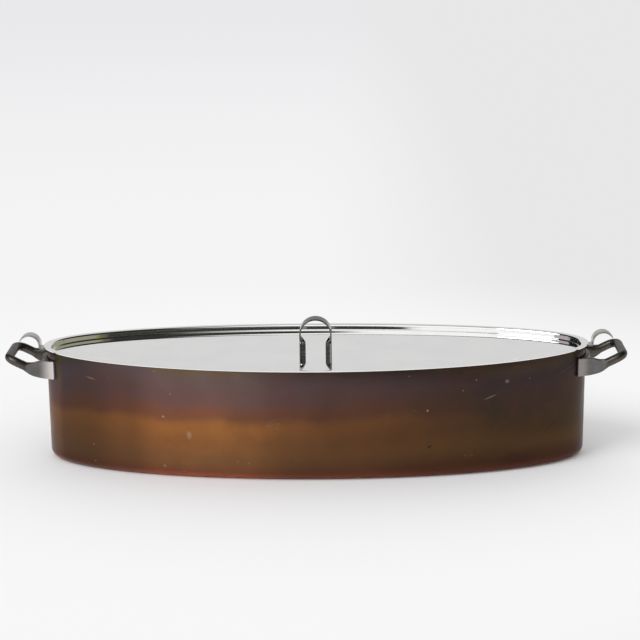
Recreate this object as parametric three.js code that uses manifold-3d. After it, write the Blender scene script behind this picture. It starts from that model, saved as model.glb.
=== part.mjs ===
// Oval fish kettle. A copper body with a thin steel lining carries a cast handle on each end.
// A perforated fish rack hangs in it on two bent straps that lie in notches of the rim, and a
// sunken steel lid with a flat flange and a dished floor closes it. Millimetres, +Z up, the long side along X, the
// origin under the middle of the base.
import * as THREE from 'three';
import { mergeVertices } from 'three/addons/utils/BufferGeometryUtils.js';
import Module from 'manifold-3d';

const wasm = await Module();
wasm.setup();

// Body
const bodyLength = 555;
const bodyWidth = 172;
const bodyHeight = 118;
const rimDip = 3.7;
const copperSheet = 1.2;
const liningSheet = 0.5;
const bondGap = 0.2;
const bottomRadius = 9;

// Gap kept between pieces that were made apart
const clearance = 0.3;

// Lid
const lidOverhang = 2.5;
const lidSheet = 0.8;
const flangeWidth = 7.6;
const lidDepth = 8.3;
const lidDish = 2.4;
const coveRadius = 2.2;
const lidBend = 0.7;
const wallSlope = 0.3;

// Lid handle, one strip bent into an arch; each leg is folded lengthwise into a narrow channel
const archWidth = 33.2;
const archHeight = 37.5;
const archStripWidth = 14.4;
const archStripSheet = 1.4;
const channelWidth = 3.2;
const channelHeight = 10.3;
const foldHeight = 6.5;
const tongueWidth = 3;
const tongueTab = 6;
const backingLength = 15;
const backingWidth = 18;
const backingSheet = 1;

// End handles, cast in one piece with a curved back plate
const handleReach = 40.4;
const handleHalfWidth = 26;
const handleBarRadius = 4.6;
const handleCorner = 9.5;
const handleRise = 11.3;
const legRiseStart = 6.5;
const palmHeight = 18.7;
const palmTop = 10;
const palmLift = 1.7;
const palmHalfSpan = 25;
const leafTip = 18.5;
const leafGrowth = 20.5;
const leafShoulder = 5.5;
const leafDepth = 2.7;
const backPlateSheet = 4.2;
const backPlateEndSheet = 2.4;

// Shape of the casting's section: 1 is an ellipse, smaller values are squarer
const gripSquareness = 0.95;
const palmSquareness = 0.4;

// Rivets of the end handles
const rivetSpread = 12.5;
const rivetRise = 4.3;
const rivetShank = 2;
const rivetHead = 3.4;
const rivetHeadHeight = 1.5;
const domeShoulder = 0.7;

// Fish rack
const rackHeight = 16;
const rackSheet = 1.2;
const rackEdgeHeight = 5;
const rackBend = 3;
const rackWallGap = 5;
const rackHole = 6;
const rackHolePitch = 34;
const rackRowPitch = 27;
const rackHoleMargin = 5;

// Straps that carry the rack over the rim
const strapWidth = 13.5;
const strapSheet = 1.2;
const strapSink = 1.5;
const strapFootLength = 34;
const strapFootBend = 4;
const strapBend = 1.6;
const strapWallGap = 1.3;
const strapRimReach = 6.8;
const strapArchRadius = 10.6;
const strapArchRise = 3.2;
const strapSweep = 151;
const strapRivetShank = 1.9;
const strapRivetHead = 3.4;
const strapRivetHeadHeight = 1.1;
const strapRivetPitch = 13;
const strapRivetMargin = 7;

// Fineness of the curves
const ovalSteps = 64;
const endCrowding = 0.4;
const smallRound = 8;
const barSides = 14;
const plateSteps = 12;
const strapSteps = 12;
const archSteps = 18;

// Sizes that follow from the ones above
const halfLength = bodyLength / 2;
const halfWidth = bodyWidth / 2;
const liningInset = copperSheet + bondGap;
const wallInset = liningInset + liningSheet;
const floorTop = wallInset;
const flangeBottom = bodyHeight + clearance;
const strapTop = bodyHeight - strapSink;
const strapBottom = strapTop - strapSheet;
const notchFloor = strapBottom - clearance;
const notchWidth = strapWidth + 4 * clearance;
const wallMiddle = bodyHeight - palmTop - palmHeight / 2;
const rackInset = wallInset + rackWallGap;
const strapLegX = halfLength - wallInset - strapWallGap - strapSheet / 2;
const strapRivetPlaces = [0, strapRivetPitch].map((along) => strapLegX - strapFootLength + strapRivetMargin + along);
const lidEdgeTop = flangeBottom + lidSheet - lidDepth;
const lidFloorTop = lidEdgeTop - lidDish;
const lidFloorBottom = lidFloorTop - lidSheet;
const backingTop = lidFloorBottom - clearance;
const legBottom = lidFloorTop + clearance;
const archLegX = archWidth / 2 - archStripSheet / 2;

const copper = new THREE.MeshStandardMaterial({ color: 0x6b4433, roughness: 0.45, metalness: 0.9 });
const lining = new THREE.MeshStandardMaterial({ color: 0xb9b9b6, roughness: 0.4, metalness: 1 });
const castIron = new THREE.MeshStandardMaterial({ color: 0x4b4a48, roughness: 0.5, metalness: 0.9 });
const mirrorSteel = new THREE.MeshStandardMaterial({ color: 0xd8d8d6, roughness: 0.08, metalness: 1 });
const satinSteel = new THREE.MeshStandardMaterial({ color: 0xaaa9a6, roughness: 0.3, metalness: 1 });
const darkSteel = new THREE.MeshStandardMaterial({ color: 0x6a6a69, roughness: 0.35, metalness: 1 });
const rivetCopper = new THREE.MeshStandardMaterial({ color: 0x8a5a42, roughness: 0.4, metalness: 0.95 });

// Closed triangle mesh to solid, and back
function toSolid(geometry) {
  const bare = geometry.clone();
  bare.deleteAttribute('normal');
  bare.deleteAttribute('uv');
  const merged = mergeVertices(bare, 1e-5);
  const index = merged.index.array;
  const kept = [];
  for (let i = 0; i < index.length; i += 3) {
    const [a, b, c] = [index[i], index[i + 1], index[i + 2]];
    if (a !== b && b !== c && c !== a) {
      kept.push(a, b, c);
    }
  }
  const mesh = new wasm.Mesh({
    numProp: 3,
    vertProperties: new Float32Array(merged.attributes.position.array),
    triVerts: new Uint32Array(kept),
  });
  return new wasm.Manifold(mesh);
}

function toGeometry(solid) {
  const mesh = solid.getMesh();
  const geometry = new THREE.BufferGeometry();
  geometry.setAttribute('position', new THREE.BufferAttribute(new Float32Array(mesh.vertProperties), 3));
  geometry.setIndex(new THREE.BufferAttribute(new Uint32Array(mesh.triVerts), 1));
  geometry.computeVertexNormals();
  return geometry;
}

// Point on the body's oval moved inwards along its normal, with closer points round the ends
function ovalPoint(step, inset) {
  const turn = (2 * Math.PI * step) / ovalSteps;
  const angle = turn - (endCrowding * Math.sin(2 * turn)) / 2;
  const normalX = halfWidth * Math.cos(angle);
  const normalY = halfLength * Math.sin(angle);
  const size = Math.hypot(normalX, normalY);
  return [
    halfLength * Math.cos(angle) - (inset * normalX) / size,
    halfWidth * Math.sin(angle) - (inset * normalY) / size,
  ];
}

// Point and outward direction on the right end of the oval at a given y
function wallAt(y, offset) {
  const sine = y / halfWidth;
  const cosine = Math.sqrt(1 - sine * sine);
  const normal = new THREE.Vector2(halfWidth * cosine, halfLength * sine).normalize();
  return {
    x: halfLength * cosine + offset * normal.x,
    y: y + offset * normal.y,
    normal,
  };
}

// Ring of points round the oval. The share shrinks it towards the middle
function ovalRing(inset, height, dipShare = 0, share = 1) {
  const ring = [];
  for (let k = 0; k < ovalSteps; k++) {
    const [x, y] = ovalPoint(k, inset);
    const dip = dipShare * rimDip * (1 - (x / halfLength) ** 2);
    ring.push([share * x, share * y, height - dip]);
  }
  return ring;
}

// Solid swept round the oval from a profile of [inset, height, share of the rim's dip]. It starts
// and ends on a floor, which sinks towards its middle by the dish
function ovalSolid(profile, dish = 0) {
  const shares = dish === 0 ? [] : [0.25, 0.5, 0.75];
  const start = profile[0];
  const end = profile[profile.length - 1];
  const sunkRing = ([inset, height], share) => ovalRing(inset, height - dish * (1 - share ** 2), 0, share);
  const rings = [
    ...shares.map((share) => sunkRing(start, share)),
    ...profile.map((point) => ovalRing(...point)),
    ...shares.map((share) => sunkRing(end, share)).reverse(),
  ];
  const positions = rings.flat(2);
  const index = [];
  for (let j = 0; j + 1 < rings.length; j++) {
    for (let k = 0; k < ovalSteps; k++) {
      const next = (k + 1) % ovalSteps;
      const a = j * ovalSteps + k;
      const b = j * ovalSteps + next;
      const c = (j + 1) * ovalSteps + next;
      const d = (j + 1) * ovalSteps + k;
      index.push(a, b, c, a, c, d);
    }
  }
  const middle = positions.length / 3;
  positions.push(0, 0, start[1] - dish, 0, 0, end[1] - dish);
  const lastRing = (rings.length - 1) * ovalSteps;
  for (let k = 0; k < ovalSteps; k++) {
    const next = (k + 1) % ovalSteps;
    index.push(middle, next, k, middle + 1, lastRing + k, lastRing + next);
  }
  const geometry = new THREE.BufferGeometry();
  geometry.setAttribute('position', new THREE.Float32BufferAttribute(positions, 3));
  geometry.setIndex(index);
  return toSolid(geometry);
}

// Closed solid through rings of points, with both ends filled
function loft(rings) {
  const positions = [];
  const index = [];
  const around = rings[0].length;
  for (const ring of rings) {
    for (const point of ring) {
      positions.push(point.x, point.y, point.z);
    }
  }
  for (let j = 0; j + 1 < rings.length; j++) {
    for (let k = 0; k < around; k++) {
      const next = (k + 1) % around;
      const a = j * around + k;
      const b = j * around + next;
      const c = (j + 1) * around + next;
      const d = (j + 1) * around + k;
      index.push(a, b, c, a, c, d);
    }
  }
  const last = (rings.length - 1) * around;
  for (let k = 1; k + 1 < around; k++) {
    index.push(0, k + 1, k, last, last + k, last + k + 1);
  }
  const geometry = new THREE.BufferGeometry();
  geometry.setAttribute('position', new THREE.Float32BufferAttribute(positions, 3));
  geometry.setIndex(index);
  let solid = toSolid(geometry);
  if (solid.volume() < 0) {
    const flipped = [];
    for (let i = 0; i < index.length; i += 3) {
      flipped.push(index[i], index[i + 2], index[i + 1]);
    }
    geometry.setIndex(flipped);
    solid = toSolid(geometry);
  }
  return solid;
}

// Line through [x, z, bend radius] corners with each bend as short straight steps
function bentPath(corners, stepsPerBend) {
  const path = [];
  for (let i = 0; i < corners.length; i++) {
    const here = new THREE.Vector2(corners[i][0], corners[i][1]);
    const radius = corners[i][2] ?? 0;
    if (radius === 0 || i === 0 || i === corners.length - 1) {
      path.push(here);
      continue;
    }
    const before = new THREE.Vector2(...corners[i - 1]).sub(here).normalize();
    const after = new THREE.Vector2(...corners[i + 1]).sub(here).normalize();
    const opening = Math.acos(THREE.MathUtils.clamp(before.dot(after), -1, 1));
    const centre = before.clone().add(after).normalize();
    centre.multiplyScalar(radius / Math.sin(opening / 2)).add(here);
    const reach = radius / Math.tan(opening / 2);
    const start = before.multiplyScalar(reach).add(here).sub(centre);
    const end = after.multiplyScalar(reach).add(here).sub(centre);
    const swing = Math.atan2(start.cross(end), start.dot(end));
    for (let j = 0; j <= stepsPerBend; j++) {
      const turned = start.clone().rotateAround(new THREE.Vector2(), (swing * j) / stepsPerBend);
      path.push(turned.add(centre));
    }
  }
  return path;
}

// The same line moved sideways by a distance, to the left of its direction when positive
function offsetPath(path, distance) {
  return path.map((point, i) => {
    const before = path[Math.max(i - 1, 0)];
    const after = path[Math.min(i + 1, path.length - 1)];
    const into = i === 0 ? after.clone().sub(point) : point.clone().sub(before);
    const out = i === path.length - 1 ? into.clone() : after.clone().sub(point);
    const normalIn = new THREE.Vector2(-into.y, into.x).normalize();
    const normalOut = new THREE.Vector2(-out.y, out.x).normalize();
    const mean = normalIn.clone().add(normalOut).normalize();
    return mean.multiplyScalar(distance / mean.dot(normalIn)).add(point);
  });
}

// Outline of a bent sheet around its middle line
function sheetOutline(path, sheet) {
  const left = offsetPath(path, sheet / 2);
  const right = offsetPath(path, -sheet / 2);
  return [...right, ...left.reverse()];
}

// Outline in the XZ plane drawn out along Y, centred on middleY
function drawnAlongY(outline, width, middleY = 0) {
  const shape = new THREE.Shape(outline);
  const geometry = new THREE.ExtrudeGeometry(shape, { depth: width, bevelEnabled: false, curveSegments: 8 });
  geometry.rotateX(Math.PI / 2);
  geometry.translate(0, middleY + width / 2, 0);
  return toSolid(geometry);
}

function box(sizeX, sizeY, sizeZ, x, y, z) {
  const geometry = new THREE.BoxGeometry(sizeX, sizeY, sizeZ);
  geometry.translate(x, y, z);
  return toSolid(geometry);
}

// Upright round bar, used to cut holes
function upright(radius, height, x, y, z) {
  const geometry = new THREE.CylinderGeometry(radius, radius, height, smallRound);
  geometry.rotateX(Math.PI / 2);
  geometry.translate(x, y, z);
  return toSolid(geometry);
}

// Rivet along +Z with a low dome on each end; the heads' flat sides are grip apart
function rivetGeometry(shank, head, headHeight, grip) {
  const dome = (side, base) => [
    [head, base],
    [head * domeShoulder, base + side * headHeight * domeShoulder],
    [0, base + side * headHeight],
  ];
  const outline = [
    ...dome(-1, 0).reverse(),
    [shank, 0],
    [shank, grip],
    ...dome(1, grip),
  ];
  const geometry = new THREE.LatheGeometry(outline.map(([r, h]) => new THREE.Vector2(r, h)), smallRound);
  geometry.rotateX(Math.PI / 2);
  return toGeometry(toSolid(geometry));
}

const group = new THREE.Group();

function place(name, geometry, material, parent = group) {
  const mesh = new THREE.Mesh(geometry, material);
  mesh.name = name;
  parent.add(mesh);
  return mesh;
}

// Profile of the body wall between two insets, from the outer floor over the rim to the inner floor
function vesselProfile(outer, inner, outerCorner, floorBottom, floorHeight) {
  const profile = [];
  const steps = 3;
  for (let j = 0; j <= steps; j++) {
    const angle = (Math.PI / 2) * (j / steps);
    profile.push([
      outer + outerCorner * (1 - Math.sin(angle)),
      floorBottom + outerCorner * (1 - Math.cos(angle)),
    ]);
  }
  profile.push([outer, bodyHeight, 1], [inner, bodyHeight, 1]);
  const innerCorner = outerCorner - (inner - outer);
  for (let j = steps; j >= 0; j--) {
    const angle = (Math.PI / 2) * (j / steps);
    profile.push([
      inner + innerCorner * (1 - Math.sin(angle)),
      floorHeight + innerCorner * (1 - Math.cos(angle)),
    ]);
  }
  return profile;
}

// Cuts that the wall layers share: the strap notches and the rivet holes
const rivetSeats = [];
for (const y of [-rivetSpread, rivetSpread]) {
  for (const rise of [-rivetRise, rivetRise]) {
    rivetSeats.push({ y, z: wallMiddle + rise });
  }
}

// Turn that points +Z along the outward normal of the right end
function aimAlong(normal) {
  const aim = new THREE.Vector3(normal.x, normal.y, 0);
  return new THREE.Quaternion().setFromUnitVectors(new THREE.Vector3(0, 0, 1), aim);
}

function rivetHoles() {
  return rivetSeats.map(({ y, z }) => {
    const radius = rivetShank + clearance;
    const hole = new THREE.CylinderGeometry(radius, radius, 4 * (wallInset + backPlateSheet), smallRound);
    hole.rotateX(Math.PI / 2);
    const wall = wallAt(y, 0);
    hole.applyQuaternion(aimAlong(wall.normal));
    hole.translate(wall.x, wall.y, z);
    return hole;
  });
}

function wallCuts(layer) {
  let cut = layer;
  for (const turn of [0, Math.PI]) {
    const notchDepth = 2 * (bodyHeight - notchFloor);
    const notch = new THREE.BoxGeometry(2 * notchWidth, notchWidth, notchDepth);
    notch.translate(halfLength, 0, bodyHeight);
    for (const opening of [notch, ...rivetHoles()]) {
      opening.rotateZ(turn);
      cut = cut.subtract(toSolid(opening));
    }
  }
  return cut;
}

// Body
const copperShell = ovalSolid(vesselProfile(0, copperSheet, bottomRadius, 0, copperSheet));
place('copper_shell', toGeometry(wallCuts(copperShell)), copper);

const liningCorner = bottomRadius - liningInset;
const steelLining = ovalSolid(vesselProfile(liningInset, wallInset, liningCorner, liningInset, floorTop));
place('steel_lining', toGeometry(wallCuts(steelLining)), lining);

// Eased step from 0 to 1 as the value goes from one place to another
function smooth(from, to, value) {
  const t = THREE.MathUtils.clamp((value - from) / (to - from), 0, 1);
  return t * t * (3 - 2 * t);
}

// How far the back plate's outer face stands off the wall; it thins towards both palms
function plateFace(y) {
  const share = (y / palmHalfSpan) ** 2;
  return clearance + THREE.MathUtils.lerp(backPlateSheet, backPlateEndSheet, share);
}

// Cast end handle for the right end: a round bar whose legs widen into palms, and a plate behind
const barX = halfLength + handleReach - handleBarRadius;
const leafTipX = halfLength + leafTip;
const palmEndX = wallAt(palmHalfSpan, 0).x;

// Middle height of the bar and legs at a distance along X
function legHeight(x) {
  const palmPart = palmLift * smooth(palmEndX, halfLength + legRiseStart, x);
  const barPart = handleRise * smooth(halfLength + legRiseStart, barX + handleBarRadius, x);
  return wallMiddle + palmPart + barPart;
}

// Middle line of the bar in plan, from the left palm round the grip to the right palm
function barLine() {
  const straight = handleHalfWidth - handleCorner;
  const legStart = barX - handleCorner;
  const stations = [0, 0.5].map((share) => [barX, share * straight]);
  const cornerSteps = 5;
  for (let j = 0; j <= cornerSteps; j++) {
    const angle = (Math.PI / 2) * (j / cornerSteps);
    stations.push([legStart + handleCorner * Math.cos(angle), straight + handleCorner * Math.sin(angle)]);
  }
  const legSteps = 8;
  for (let j = 1; j <= legSteps; j++) {
    stations.push([THREE.MathUtils.lerp(legStart, palmEndX, j / legSteps), handleHalfWidth]);
  }
  const half = stations.map(([x, y]) => new THREE.Vector3(x, y, legHeight(x)));
  const mirrored = half.slice(1).reverse().map((point) => new THREE.Vector3(point.x, -point.y, point.z));
  return [...mirrored, ...half];
}

// Section of the bar at one point of its line: round at the grip, tall and flat at the palms
function barSection(centre, tangent) {
  const across = new THREE.Vector3(tangent.y, -tangent.x, 0).normalize();
  const up = new THREE.Vector3().crossVectors(across, tangent);
  const leaf = THREE.MathUtils.clamp((leafTipX - centre.x) / leafGrowth, 0, 1);
  const halfTall = THREE.MathUtils.lerp(handleBarRadius, palmHeight / 2, Math.sin((Math.PI / 2) * leaf));
  const squareness = THREE.MathUtils.lerp(gripSquareness, palmSquareness, leaf);
  const ring = [];
  for (let k = 0; k < barSides; k++) {
    const angle = (2 * Math.PI * (k + 0.5)) / barSides;
    const cosine = Math.cos(angle);
    const sine = Math.sin(angle);
    ring.push(centre.clone()
      .addScaledVector(across, handleBarRadius * Math.sign(cosine) * Math.abs(cosine) ** squareness)
      .addScaledVector(up, halfTall * Math.sign(sine) * Math.abs(sine) ** squareness));
  }
  return ring;
}

// Block that cuts the outside of a leg flat, from the pointed shoulder of the leaf to the palm's end
function facetCutter(side) {
  const wall = wallAt(palmHalfSpan, backPlateEndSheet + clearance);
  const outside = handleHalfWidth + handleBarRadius;
  const shoulder = new THREE.Vector2(leafTipX - leafShoulder, outside - leafDepth);
  const beyond = shoulder.clone().lerp(new THREE.Vector2(wall.x, wall.y), 2);
  const outline = [
    new THREE.Vector2(leafTipX, outside),
    shoulder,
    beyond,
    new THREE.Vector2(beyond.x, outside + palmHeight),
    new THREE.Vector2(leafTipX, outside + palmHeight),
  ].map((point) => new THREE.Vector2(point.x, side * point.y));
  const geometry = new THREE.ExtrudeGeometry(new THREE.Shape(outline), { depth: bodyHeight, bevelEnabled: false });
  geometry.translate(0, 0, wallMiddle - bodyHeight / 2);
  return toSolid(geometry);
}

// Block that takes off the casting past the ends of the palms, square to the wall
function endCutter(side) {
  const wall = wallAt(side * palmHalfSpan, 0);
  const block = new THREE.BoxGeometry(4 * palmHeight, 2 * palmHeight, 4 * palmHeight);
  block.translate(0, side * palmHeight, 0);
  block.rotateZ(Math.atan2(wall.normal.y, wall.normal.x));
  block.translate(wall.x, wall.y, wallMiddle);
  return toSolid(block);
}

function backPlate() {
  const sections = [];
  const low = wallMiddle - palmHeight / 2;
  const high = wallMiddle + palmHeight / 2;
  for (let j = 0; j <= plateSteps; j++) {
    const y = palmHalfSpan * (-1 + (2 * j) / plateSteps);
    const inner = wallAt(y, -wallInset);
    const outer = wallAt(y, plateFace(y));
    sections.push([
      new THREE.Vector3(inner.x, inner.y, low),
      new THREE.Vector3(outer.x, outer.y, low),
      new THREE.Vector3(outer.x, outer.y, high),
      new THREE.Vector3(inner.x, inner.y, high),
    ]);
  }
  return loft(sections);
}

function endHandle() {
  const line = barLine();
  const sections = line.map((centre, i) => {
    const before = line[Math.max(i - 1, 0)];
    const after = line[Math.min(i + 1, line.length - 1)];
    return barSection(centre, after.clone().sub(before).normalize());
  });
  let casting = loft(sections);
  for (const side of [-1, 1]) {
    casting = casting.subtract(facetCutter(side));
  }
  casting = casting.add(backPlate());
  for (const side of [-1, 1]) {
    casting = casting.subtract(endCutter(side));
  }
  casting = casting.subtract(ovalSolid([[-clearance, 0], [-clearance, 2 * bodyHeight]]));
  for (const hole of rivetHoles()) {
    casting = casting.subtract(toSolid(hole));
  }
  return toGeometry(casting);
}

const handle = endHandle();

// Fish rack
function rackPlate() {
  const middle = rackInset + rackSheet / 2;
  const path = bentPath([
    [middle, rackHeight + rackEdgeHeight],
    [middle, rackHeight + rackSheet / 2, rackBend],
    [middle + 2 * rackBend, rackHeight + rackSheet / 2],
  ], 3);
  const outside = offsetPath(path, -rackSheet / 2);
  const inside = offsetPath(path, rackSheet / 2);
  const profile = [...outside.reverse(), ...inside].map((point) => [point.x, point.y]);
  let tray = ovalSolid(profile);
  const reachX = halfLength - rackInset - rackBend - rackHole - rackHoleMargin;
  const reachY = halfWidth - rackInset - rackBend - rackHole - rackHoleMargin;
  const footStart = strapLegX - strapFootLength - rackHole - rackHoleMargin;
  const rows = Math.floor(reachY / rackRowPitch);
  for (let row = -rows; row <= rows; row++) {
    const y = row * rackRowPitch;
    const shift = row % 2 === 0 ? 0 : rackHolePitch / 2;
    const columns = Math.ceil(reachX / rackHolePitch);
    for (let column = -columns; column <= columns; column++) {
      const x = column * rackHolePitch + shift;
      const inside = (x / reachX) ** 2 + (y / reachY) ** 2 <= 1;
      const underStrap = Math.abs(x) > footStart && Math.abs(y) < strapWidth / 2 + rackHole + rackHoleMargin;
      if (inside && !underStrap) {
        tray = tray.subtract(upright(rackHole, 4 * rackSheet, x, y, rackHeight + rackSheet / 2));
      }
    }
  }
  for (const side of [-1, 1]) {
    for (const x of strapRivetPlaces) {
      const hole = upright(strapRivetShank + clearance, 4 * rackSheet, side * x, 0, rackHeight + rackSheet / 2);
      tray = tray.subtract(hole);
    }
  }
  return toGeometry(tray);
}

// Right strap: a foot under the rack, a leg up the wall, over the rim and out in a hook
function rackStrap() {
  const low = rackHeight - strapSheet / 2;
  const high = strapTop - strapSheet / 2;
  const hookX = halfLength + strapRimReach;
  const path = bentPath([
    [strapLegX - strapFootLength, low],
    [strapLegX, low, strapFootBend],
    [strapLegX, high, strapBend],
    [hookX, high, strapBend],
    [hookX, high + strapArchRise],
  ], 3);
  const centre = new THREE.Vector2(hookX + strapArchRadius, high + strapArchRise);
  const sweep = THREE.MathUtils.degToRad(strapSweep);
  for (let j = 1; j <= strapSteps; j++) {
    const angle = Math.PI - (sweep * j) / strapSteps;
    path.push(new THREE.Vector2(Math.cos(angle), Math.sin(angle)).multiplyScalar(strapArchRadius).add(centre));
  }
  let strap = drawnAlongY(sheetOutline(path, strapSheet), strapWidth);
  for (const x of strapRivetPlaces) {
    strap = strap.subtract(upright(strapRivetShank + clearance, 4 * strapSheet, x, 0, low));
  }
  return toGeometry(strap);
}

place('rack_plate', rackPlate(), satinSteel);
const strap = rackStrap();

// Both ends carry the same pieces, turned half round
for (const [side, turn] of [['right', 0], ['left', Math.PI]]) {
  const end = new THREE.Group();
  end.rotation.z = turn;
  group.add(end);
  place(`${side}_handle`, handle, castIron, end);
  place(`${side}_rack_strap`, strap, satinSteel, end);
  rivetSeats.forEach(({ y, z }, i) => {
    const inner = wallInset + 2 * clearance;
    const grip = inner + plateFace(y) + clearance;
    const rivet = place(`${side}_handle_rivet_${i + 1}`,
      rivetGeometry(rivetShank, rivetHead, rivetHeadHeight, grip), rivetCopper, end);
    const seat = wallAt(y, -inner);
    rivet.quaternion.copy(aimAlong(seat.normal));
    rivet.position.set(seat.x, seat.y, z);
  });
  strapRivetPlaces.forEach((x, i) => {
    const grip = strapSheet + rackSheet;
    const rivet = place(`${side}_strap_rivet_${i + 1}`,
      rivetGeometry(strapRivetShank, strapRivetHead, strapRivetHeadHeight, grip), satinSteel, end);
    rivet.position.set(x, 0, rackHeight - strapSheet);
  });
}

// Lid
function lidPan() {
  const top = flangeBottom + lidSheet / 2;
  const floor = lidEdgeTop - lidSheet / 2;
  const wall = flangeWidth - lidOverhang;
  const path = bentPath([
    [-lidOverhang, top],
    [wall, top, lidBend],
    [wall + wallSlope, floor, coveRadius],
    [wall + 2 * coveRadius, floor],
  ], 2);
  const upper = offsetPath(path, lidSheet / 2);
  const under = offsetPath(path, -lidSheet / 2);
  const wallFoot = floor + coveRadius;
  const wallHead = top - lidBend;
  const profile = [...under.reverse(), ...upper].map((point) => {
    const dipShare = THREE.MathUtils.clamp((point.y - wallFoot) / (wallHead - wallFoot), 0, 1);
    return [point.x, point.y, dipShare];
  });
  let pan = ovalSolid(profile, lidDish);
  for (const side of [-1, 1]) {
    pan = pan.subtract(box(archStripSheet + 2 * clearance, tongueWidth + 2 * clearance, 4 * lidSheet,
      side * archLegX, 0, lidFloorTop));
  }
  return toGeometry(pan);
}

// Section of a leg of the lid handle with both halves of the strip folded in by an angle
function foldedSection(side, fold, height) {
  const face = archWidth / 2;
  const half = channelWidth / 2;
  const flap = archStripWidth / 2 - half;
  const along = new THREE.Vector2(-Math.sin(fold), Math.cos(fold));
  const inward = new THREE.Vector2(-Math.cos(fold), -Math.sin(fold));
  const bend = new THREE.Vector2(face, half);
  const tip = bend.clone().addScaledVector(along, flap);
  const innerTip = tip.clone().addScaledVector(inward, archStripSheet);
  const innerBend = new THREE.Vector2(face - archStripSheet, half - archStripSheet * Math.tan(fold / 2));
  const upper = [innerBend, innerTip, tip, bend];
  const lower = [...upper].reverse().map((point) => new THREE.Vector2(point.x, -point.y));
  return [...upper, ...lower].map((point) => new THREE.Vector3(side * point.x, point.y, height));
}

function lidHandle() {
  const radius = archWidth / 2 - archStripSheet / 2;
  const channelTop = lidFloorTop + channelHeight;
  const foldTop = channelTop + foldHeight;
  const spring = lidFloorTop + archHeight - archWidth / 2;
  const path = [new THREE.Vector2(-radius, foldTop)];
  for (let j = 0; j <= archSteps; j++) {
    const angle = Math.PI * (1 - j / archSteps);
    path.push(new THREE.Vector2(radius * Math.cos(angle), spring + radius * Math.sin(angle)));
  }
  path.push(new THREE.Vector2(radius, foldTop));
  let arch = drawnAlongY(sheetOutline(path, archStripSheet), archStripWidth);
  for (const side of [-1, 1]) {
    const sections = [0, 1, 2, 3].map((step) => {
      const share = step / 3;
      return foldedSection(side, Math.asin(1 - share), THREE.MathUtils.lerp(channelTop, foldTop, share));
    });
    arch = arch.add(loft([foldedSection(side, Math.PI / 2, legBottom), ...sections]));
    const tabLevel = backingTop - backingSheet - archStripSheet / 2;
    const tongue = [
      [side * radius, lidFloorTop + channelHeight / 4],
      [side * radius, tabLevel],
      [side * (radius + tongueTab), tabLevel],
    ];
    const tonguePath = bentPath(tongue, 1);
    arch = arch.add(drawnAlongY(sheetOutline(tonguePath, archStripSheet), tongueWidth));
  }
  return toGeometry(arch);
}

function backingPlate(side) {
  const middle = side * archLegX;
  const plate = box(backingLength, backingWidth, backingSheet, middle, 0, backingTop - backingSheet / 2);
  const slot = box(archStripSheet + 2 * clearance, tongueWidth + 2 * clearance, 4 * backingSheet,
    middle, 0, backingTop);
  return toGeometry(plate.subtract(slot));
}

place('lid_pan', lidPan(), mirrorSteel);
place('lid_handle', lidHandle(), darkSteel);
place('left_handle_backing', backingPlate(-1), satinSteel);
place('right_handle_backing', backingPlate(1), satinSteel);

export default group;
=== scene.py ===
from math import acos, asin, atan2, ceil, copysign, cos, pi, radians, sin, sqrt, tan

import bmesh
import bpy
import numpy as np
from mathutils import Matrix, Vector


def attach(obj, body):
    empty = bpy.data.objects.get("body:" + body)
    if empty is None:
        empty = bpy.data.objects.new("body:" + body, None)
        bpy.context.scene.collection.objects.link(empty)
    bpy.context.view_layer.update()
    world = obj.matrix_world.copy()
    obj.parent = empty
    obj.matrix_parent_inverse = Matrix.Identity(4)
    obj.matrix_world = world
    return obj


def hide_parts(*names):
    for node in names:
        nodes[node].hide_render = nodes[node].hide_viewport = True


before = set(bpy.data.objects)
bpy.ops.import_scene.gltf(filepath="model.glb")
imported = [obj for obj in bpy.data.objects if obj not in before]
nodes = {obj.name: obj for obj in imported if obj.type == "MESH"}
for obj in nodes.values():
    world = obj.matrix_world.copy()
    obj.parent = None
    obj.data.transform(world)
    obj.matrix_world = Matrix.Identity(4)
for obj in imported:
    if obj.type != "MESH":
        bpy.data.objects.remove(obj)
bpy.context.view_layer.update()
print("frame loaded:", len(nodes), "nodes")

# Lengths of the kettle are written in millimetres, as a maker would, and scaled when the mesh is made
mm = 0.001

bodyForm = {
    "length": 555, "width": 172, "height": 118, "rimDip": 3.7,
    "copperSheet": 1.2, "liningSheet": 0.5, "bondGap": 0.2,
    "cornerRadius": 9, "rimRound": 0.45, "liningRimRound": 0.12, "rimMargin": 5,
    "wallRows": 6, "cornerSteps": 10, "floorRings": (0, 0.3, 0.6, 0.85, 0.97),
    "around": 256, "endCrowding": 0.4, "notchEdge": 0.04,
}
halfLength = bodyForm["length"] / 2
halfWidth = bodyForm["width"] / 2
bodyHeight = bodyForm["height"]
liningInset = bodyForm["copperSheet"] + bodyForm["bondGap"]
wallInset = liningInset + bodyForm["liningSheet"]
gap = 0.3  # between pieces that were made apart


# Mesh tools
def linked(name, data):
    made = bpy.data.objects.new(name, data)
    bpy.context.scene.collection.objects.link(made)
    return made


def linkMesh(name, mesh, smoothAngle=38):
    piece = linked(name, mesh)
    mesh.shade_smooth()
    mesh.set_sharp_from_angle(angle=radians(smoothAngle))
    return piece


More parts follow.
